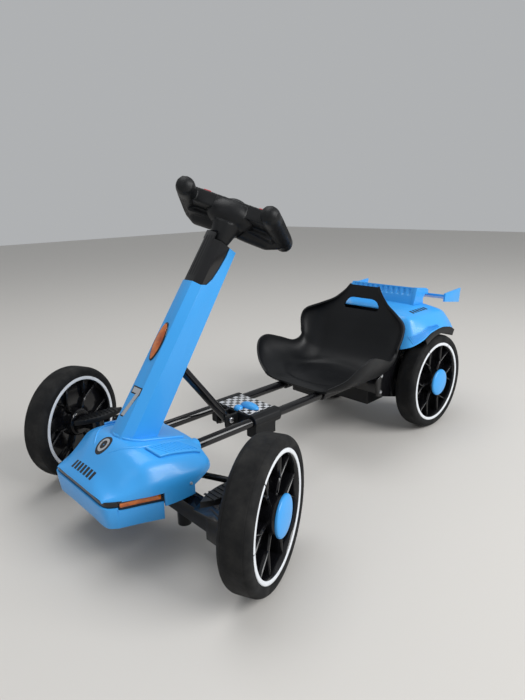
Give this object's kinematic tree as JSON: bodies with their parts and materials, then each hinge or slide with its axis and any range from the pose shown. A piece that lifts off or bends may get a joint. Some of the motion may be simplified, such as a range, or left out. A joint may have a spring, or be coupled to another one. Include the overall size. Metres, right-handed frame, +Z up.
{
  "type": "kids electric ride-on kart",
  "caption": "Open child's electric go-kart with a leaning steering column, bucket seat, blue nose, rear cover with wing and spoked wheels that steer and roll.",
  "frame": {"origin": "on the ground at the middle of the kart's length and width, as parked with its steering turned left", "axes": "+X forward to the nose, +Y to the rider's left, +Z up"},
  "size_m": [0.888, 0.5996, 0.5426],
  "materials": {
    "tyre": "smooth matt foam rubber",
    "rim_black": "glossy",
    "white_ring": "satin",
    "blue_plastic": "glossy",
    "black_paint": "gloss black paint",
    "bolt_steel": "zinc plated",
    "black_plastic": "satin moulded",
    "plate_print": "printed chequer",
    "gloss_black": "glossy",
    "amber_lens": "clear amber",
    "red_button": "glossy"
  },
  "bodies": {
    "chassis": {"axle_beam": "black_paint", "kingpins": "bolt_steel", "foot_rest_left": "black_plastic", "foot_rest_right": "black_plastic", "frame_tube_left": "black_paint", "frame_tube_right": "black_paint", "front_frame": "black_paint", "clamp_bracket": "black_plastic", "clamp_plate": "plate_print", "latch_handle": "blue_plastic", "latch_knob": "blue_plastic", "column_brace": "black_paint", "brace_bolt": "bolt_steel", "column_shell": "blue_plastic", "column_insert": "gloss_black", "column_lamp": "amber_lens", "nose_shell": "blue_plastic", "lamp_strip": "gloss_black", "nose_lamps": "amber_lens", "nose_bumper": "blue_plastic", "seat_shell": "black_plastic", "seat_base": "black_plastic", "side_plate_left": "black_paint", "side_plate_right": "black_paint", "rear_frame": "black_paint", "battery_box": "black_plastic", "gear_motor_left": "black_plastic", "gear_motor_right": "black_plastic", "rear_axle": "bolt_steel", "rear_shell": "blue_plastic", "rear_tray": "black_plastic", "arch_liners": "black_plastic", "rear_wing": "blue_plastic"},
    "steering": {"steering_shaft": "black_paint", "yoke": "black_plastic", "yoke_hub": "black_plastic", "yoke_buttons": "red_button"},
    "knuckle_left": {"knuckle_left": "black_paint"},
    "knuckle_right": {"knuckle_right": "black_paint"},
    "track_rod": {"track_rod": "black_paint"},
    "wheel_front_left": {"tyre_front_left": "tyre", "rim_front_left": "rim_black", "ring_front_left": "white_ring", "hub_cap_front_left": "blue_plastic"},
    "wheel_front_right": {"tyre_front_right": "tyre", "rim_front_right": "rim_black", "ring_front_right": "white_ring", "hub_cap_front_right": "blue_plastic"},
    "wheel_rear_left": {"tyre_rear_left": "tyre", "rim_rear_left": "rim_black", "ring_rear_left": "white_ring", "hub_cap_rear_left": "blue_plastic"},
    "wheel_rear_right": {"tyre_rear_right": "tyre", "rim_rear_right": "rim_black", "ring_rear_right": "white_ring", "hub_cap_rear_right": "blue_plastic"}
  },
  "joints": [
    {"name": "steering", "type": "hinge", "parent": "chassis", "child": "steering", "pos_m": [0.342, 0, 0.172], "axis": [-0.5621, 0, 0.8271], "range_deg": [-81, 9]},
    {"name": "knuckle_left_turn", "type": "hinge", "parent": "chassis", "child": "knuckle_left", "pos_m": [0.32, 0.192, 0.1], "axis": [0, 0, 1], "range_deg": [-54.05, 6.05]},
    {"name": "knuckle_right_turn", "type": "hinge", "parent": "chassis", "child": "knuckle_right", "pos_m": [0.32, -0.192, 0.1], "axis": [0, 0, 1], "range_deg": [-54.05, 6.05]},
    {"name": "track_rod_turn", "type": "hinge", "parent": "knuckle_left", "child": "track_rod", "pos_m": [0.26245, 0.16638, 0.09], "axis": [0, 0, 1], "range_deg": [-6.05, 54.05]},
    {"name": "spin_front_left", "type": "hinge", "parent": "knuckle_left", "child": "wheel_front_left", "pos_m": [0.29804, 0.24133, 0.105], "axis": [-0.4067, 0.9135, 0], "continuous": true},
    {"name": "spin_front_right", "type": "hinge", "parent": "knuckle_right", "child": "wheel_front_right", "pos_m": [0.34196, -0.24133, 0.105], "axis": [-0.4067, 0.9135, 0], "continuous": true},
    {"name": "spin_rear_left", "type": "hinge", "parent": "chassis", "child": "wheel_rear_left", "pos_m": [-0.32, 0.131, 0.105], "axis": [0, 1, 0], "continuous": true},
    {"name": "spin_rear_right", "type": "hinge", "parent": "chassis", "child": "wheel_rear_right", "pos_m": [-0.32, -0.131, 0.105], "axis": [0, 1, 0], "continuous": true}
  ],
  "couplings": [
    {"joint": "knuckle_left_turn", "follows": "steering", "ratio": 0.66667},
    {"joint": "knuckle_right_turn", "follows": "steering", "ratio": 0.66667},
    {"joint": "track_rod_turn", "follows": "steering", "ratio": -0.66667}
  ]
}
